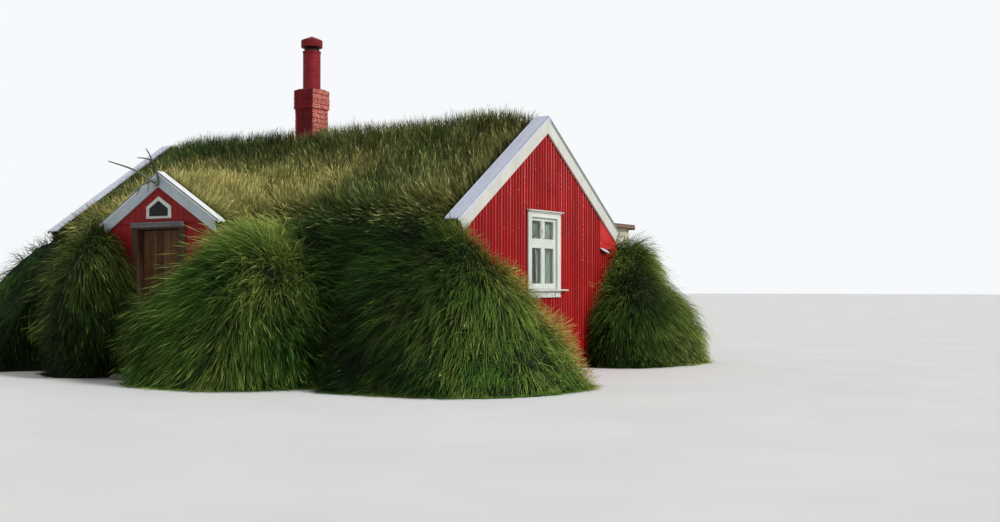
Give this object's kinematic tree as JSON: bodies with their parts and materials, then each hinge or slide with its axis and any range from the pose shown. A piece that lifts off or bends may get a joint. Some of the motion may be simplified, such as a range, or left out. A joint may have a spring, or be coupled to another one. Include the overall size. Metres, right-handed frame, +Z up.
{
  "type": "turf house",
  "caption": "Small turf house with thick grass-covered walls and roof, red iron gables with white windows, a low porch with a plank door and a red ridge chimney.",
  "frame": {"origin": "on the ground under the middle of the room, on the floor's underside", "axes": "+X along the ridge towards the gable with the annexe beside it, +Z up, the porch faces -Y"},
  "size_m": [10.82, 8.4199, 5.083],
  "materials": {
    "turf": "grass-covered turf, rough",
    "raw_wood": "sawn boards, matt",
    "red_iron": "satin red paint on corrugated iron",
    "red_boards": "red paint, matt, weathered",
    "white_boards": "white paint, flaking at the sill",
    "metal_capping": "painted sheet metal, satin",
    "window_glass": "clear",
    "curtain_cloth": "plain cloth",
    "grey_wood": "weathered grey, rough",
    "door_wood": "dark brown stain, worn",
    "door_iron": "black, rough",
    "antler": "weathered bone, dull",
    "step_stone": "rough",
    "red_masonry": "red paint on rendered blocks",
    "red_pipe": "red paint, satin",
    "pale_boards": "pale paint, matt",
    "annexe_roofing": "rusty red edge, dark top"
  },
  "bodies": {
    "house": {"turf_wall_front_left": "turf", "turf_wall_front_right": "turf", "turf_wall_rear_left": "turf", "turf_wall_rear_right": "turf", "porch_bank_left": "turf", "porch_bank_right": "turf", "roof_turf_front": "turf", "roof_turf_rear": "turf", "porch_roof_turf": "turf", "main_floor": "raw_wood", "porch_floor": "raw_wood", "room_lining": "raw_wood", "wall_plates": "raw_wood", "rafters": "raw_wood", "roof_boards": "raw_wood", "gable_wall_left": "raw_wood", "gable_wall_right": "raw_wood", "porch_lining": "raw_wood", "porch_roof_boards": "raw_wood", "gable_sheet_left": "red_iron", "gable_sheet_right": "red_iron", "porch_front": "red_boards", "porch_gable": "red_boards", "verge_boards": "white_boards", "window_left": "white_boards", "window_right": "white_boards", "porch_verge_boards": "white_boards", "porch_window": "white_boards", "verge_caps": "metal_capping", "porch_verge_caps": "metal_capping", "window_glass": "window_glass", "curtains": "curtain_cloth", "sign_board": "grey_wood", "door_frame": "grey_wood", "hinge_pins": "door_iron", "antlers": "antler", "doorstep": "step_stone", "chimney_shaft": "red_masonry", "chimney_head": "red_masonry", "chimney_pipe": "red_pipe", "chimney_lid": "red_pipe", "annexe_walls": "pale_boards", "annexe_roof": "annexe_roofing"},
    "door": {"door_leaf": "door_wood", "door_iron": "door_iron"}
  },
  "joints": [
    {"name": "door_hinge", "type": "hinge", "parent": "house", "child": "door", "pos_m": [-0.58, -3.288, 1], "axis": [0, 0, 1], "range_deg": [0, 100]}
  ]
}
